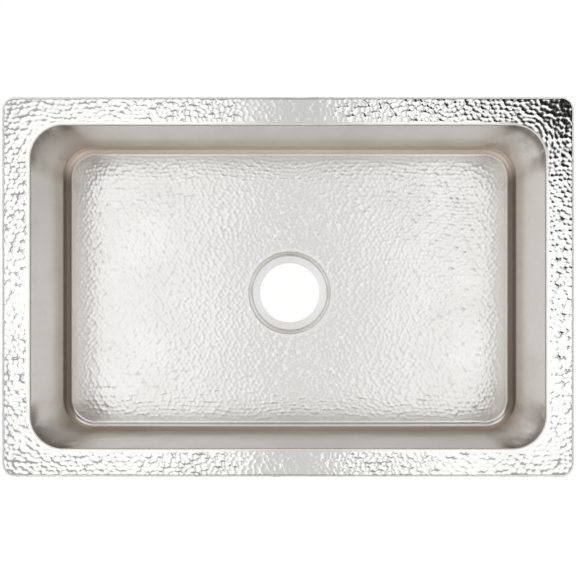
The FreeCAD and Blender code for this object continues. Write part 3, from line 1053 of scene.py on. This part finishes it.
def make_floor():
    """A plain floor with a painted pool of light, white near the object and greyer far from it.

    It is clear from below, so that the underside can be seen.
    """
    mesh = bpy.data.meshes.new("studio_floor")
    r = FLOOR_REACH
    mesh.from_pydata([(-r, -r, 0), (r, -r, 0), (r, r, 0), (-r, r, 0)], [], [(0, 1, 2, 3)])
    floor = bpy.data.objects.new("studio_floor", mesh)
    bpy.context.scene.collection.objects.link(floor)
    material, nodes, place = new_material("studio_floor")
    diffuse = nodes.add("ShaderNodeBsdfDiffuse")
    diffuse.inputs["Color"].default_value = grey(FLOOR_COLOUR)
    shaded = nodes.add("ShaderNodeBsdfDiffuse")
    shaded.inputs["Color"].default_value = grey(FLOOR_SHADED)
    glow = nodes.add("ShaderNodeEmission")
    glow.inputs["Color"].default_value = grey(1.0)
    x, y, _ = nodes.split(place)
    away = nodes.length(nodes.times(x, x), nodes.times(y, y))
    # The glow's strength is a painted pool of light round the object.
    strength = nodes.smooth(away, FLOOR_NEAR ** 2, FLOOR_FAR ** 2, NEAR_GLOW, FAR_GLOW)
    nodes.link(strength, glow.inputs["Strength"])
    rays = nodes.add("ShaderNodeLightPath").outputs
    seen = nodes.maths("ADD", rays["Is Camera Ray"], rays["Is Glossy Ray"], clamp=True)
    seen = nodes.maths("ADD", seen, rays["Is Transmission Ray"], clamp=True)
    white = nodes.join("ShaderNodeAddShader", shaded, glow)
    above = nodes.join("ShaderNodeMixShader", diffuse, white, seen)
    clear = nodes.add("ShaderNodeBsdfTransparent")
    below = nodes.add("ShaderNodeNewGeometry").outputs["Backfacing"]
    nodes.show(nodes.join("ShaderNodeMixShader", above, clear, below))
    dress(floor, material)


# Overhead, places are slopes from straight above the bowl: how far to the side for each unit up.
LEAST_UP = 0.12              # nothing is flatter than this
BOX_STRETCH = 1.46           # the overhead light is this much longer along the sink
BOX_INNER = 0.225            # it is full up to here
BOX_OUTER = 0.290            # and ends here
BOX_LEVEL = 1.12
ABOVE_LEVEL = 0.42           # the tent round it
GAP_INNER = 0.025            # the grey gap in its middle
GAP_OUTER = 0.075
GAP_LEVEL = 0.56
FLAG_X = 0.39                # middle of the dark flag
FLAG_Y = 0.33
FLAG_SIZE = 0.265
FLAG_SOFT = 0.02
FLAG_LEVEL = 0.02
# Further down they are heights, where 1 is straight up.
OVERHEAD_BAND = (0.62, 0.78)             # from the tent's side to the overhead part
SIDE_BAND = (-0.05, 0.55)                # over which the side grows brighter
HORIZON = 0.48               # how bright the side is low down
SIDE_LEVEL = 1.12            # and high up
BETWEEN = 0.72               # and between its four tall soft boxes, as a share
BETWEEN_BAND = (0.08, 0.28)  # 0 straight along X or Y, and 0.5 on the diagonals


def overhead_light(nodes, x, y, z):
    """Two soft boxes with a grey gap, and a dark flag at the back right."""
    up = nodes.maths("MAXIMUM", z, LEAST_UP)
    across = nodes.over(x, up)
    along = nodes.over(y, up)
    from_middle = nodes.length(nodes.over(across, BOX_STRETCH), along)
    boxes = nodes.smooth(from_middle, BOX_INNER, BOX_OUTER, BOX_LEVEL, ABOVE_LEVEL)
    gap = nodes.smooth(nodes.unsigned(across), GAP_INNER, GAP_OUTER, GAP_LEVEL, 1.0)
    from_flag = nodes.length(nodes.minus(across, FLAG_X), nodes.minus(along, FLAG_Y))
    flag = nodes.smooth(from_flag, FLAG_SIZE - FLAG_SOFT, FLAG_SIZE + FLAG_SOFT, FLAG_LEVEL, 1.0)
    return nodes.times(nodes.times(boxes, gap), flag)


def side_light(nodes, x, y, z):
    """A tent, greyer low down, with tall soft boxes at its corners."""
    diagonal = nodes.over(nodes.unsigned(nodes.times(x, y)), nodes.square_sum(x, y))
    tall = nodes.smooth(diagonal, *BETWEEN_BAND, BETWEEN, 1.0)
    return nodes.times(nodes.smooth(z, *SIDE_BAND, HORIZON, SIDE_LEVEL), tall)


def make_world():
    """A tent of light, overhead and at the sides."""
    world = bpy.data.worlds.new("studio")
    bpy.context.scene.world = world
    world.use_nodes = True
    nodes = Nodes(world.node_tree)
    way = nodes.split(nodes.add("ShaderNodeTexCoord").outputs["Generated"])
    share = nodes.smooth(way[2], *OVERHEAD_BAND)
    side = nodes.times(side_light(nodes, *way), nodes.minus(1.0, share))
    level = nodes.plus(nodes.times(overhead_light(nodes, *way), share), side)
    colour = nodes.add("ShaderNodeCombineColor")
    for socket in colour.inputs:
        nodes.link(level, socket)
    background = nodes.add("ShaderNodeBackground")
    nodes.link(colour.outputs[0], background.inputs["Color"])
    background.inputs["Strength"].default_value = 1.0
    nodes.show(background, "ShaderNodeOutputWorld")


PICTURE = 576                # width of the photograph in pixels
LENS = 72.6
SENSOR = 36.0
SHIFT_X = -12.8              # pixels
SHIFT_Y = 8.7
CAMERA_X = 0.017
CAMERA_Y = -0.013
CAMERA_ABOVE = 1.546         # over the top of the deck


def make_camera():
    """Straight above the bowl, a little right of its middle, as in the photograph."""
    data = bpy.data.cameras.new("camera")
    data.lens = LENS
    data.sensor_width = SENSOR
    data.shift_x = SHIFT_X / PICTURE
    data.shift_y = SHIFT_Y / PICTURE
    camera = bpy.data.objects.new("camera", data)
    camera.location = (CAMERA_X, CAMERA_Y, TOP + CAMERA_ABOVE)
    bpy.context.scene.collection.objects.link(camera)
    bpy.context.scene.camera = camera


# --- the scene ---------------------------------------------------------------------------
def main():
    bpy.context.scene.view_settings.view_transform = "Standard"
    make_camera()
    make_world()
    make_floor()
    makers = (hammered_steel, satin_steel, plain_steel, pad_rubber)
    materials = {make.__name__: make() for make in makers}
    for part in frame["record"]["subparts"]:
        dress(frame["nodes"][part["node"]], materials[part["material_slot"]])
    dress(make_dish_skin(), materials["satin_steel"])
    for node, columns in apron_columns().items():
        dress(make_apron_skin(node, columns), materials["hammered_steel"])
    floor_finish = floor_steel()
    wall_finish = wall_steel()
    for name, side in (("left", -1), ("right", 1)):
        dress(make_deck_skin("deck_skin_" + name, side), materials["hammered_steel"])
        dress(make_floor_skin("floor_skin_" + name, side), floor_finish)
        dress(make_wall_skin("wall_skin_" + name, side), wall_finish)


main()
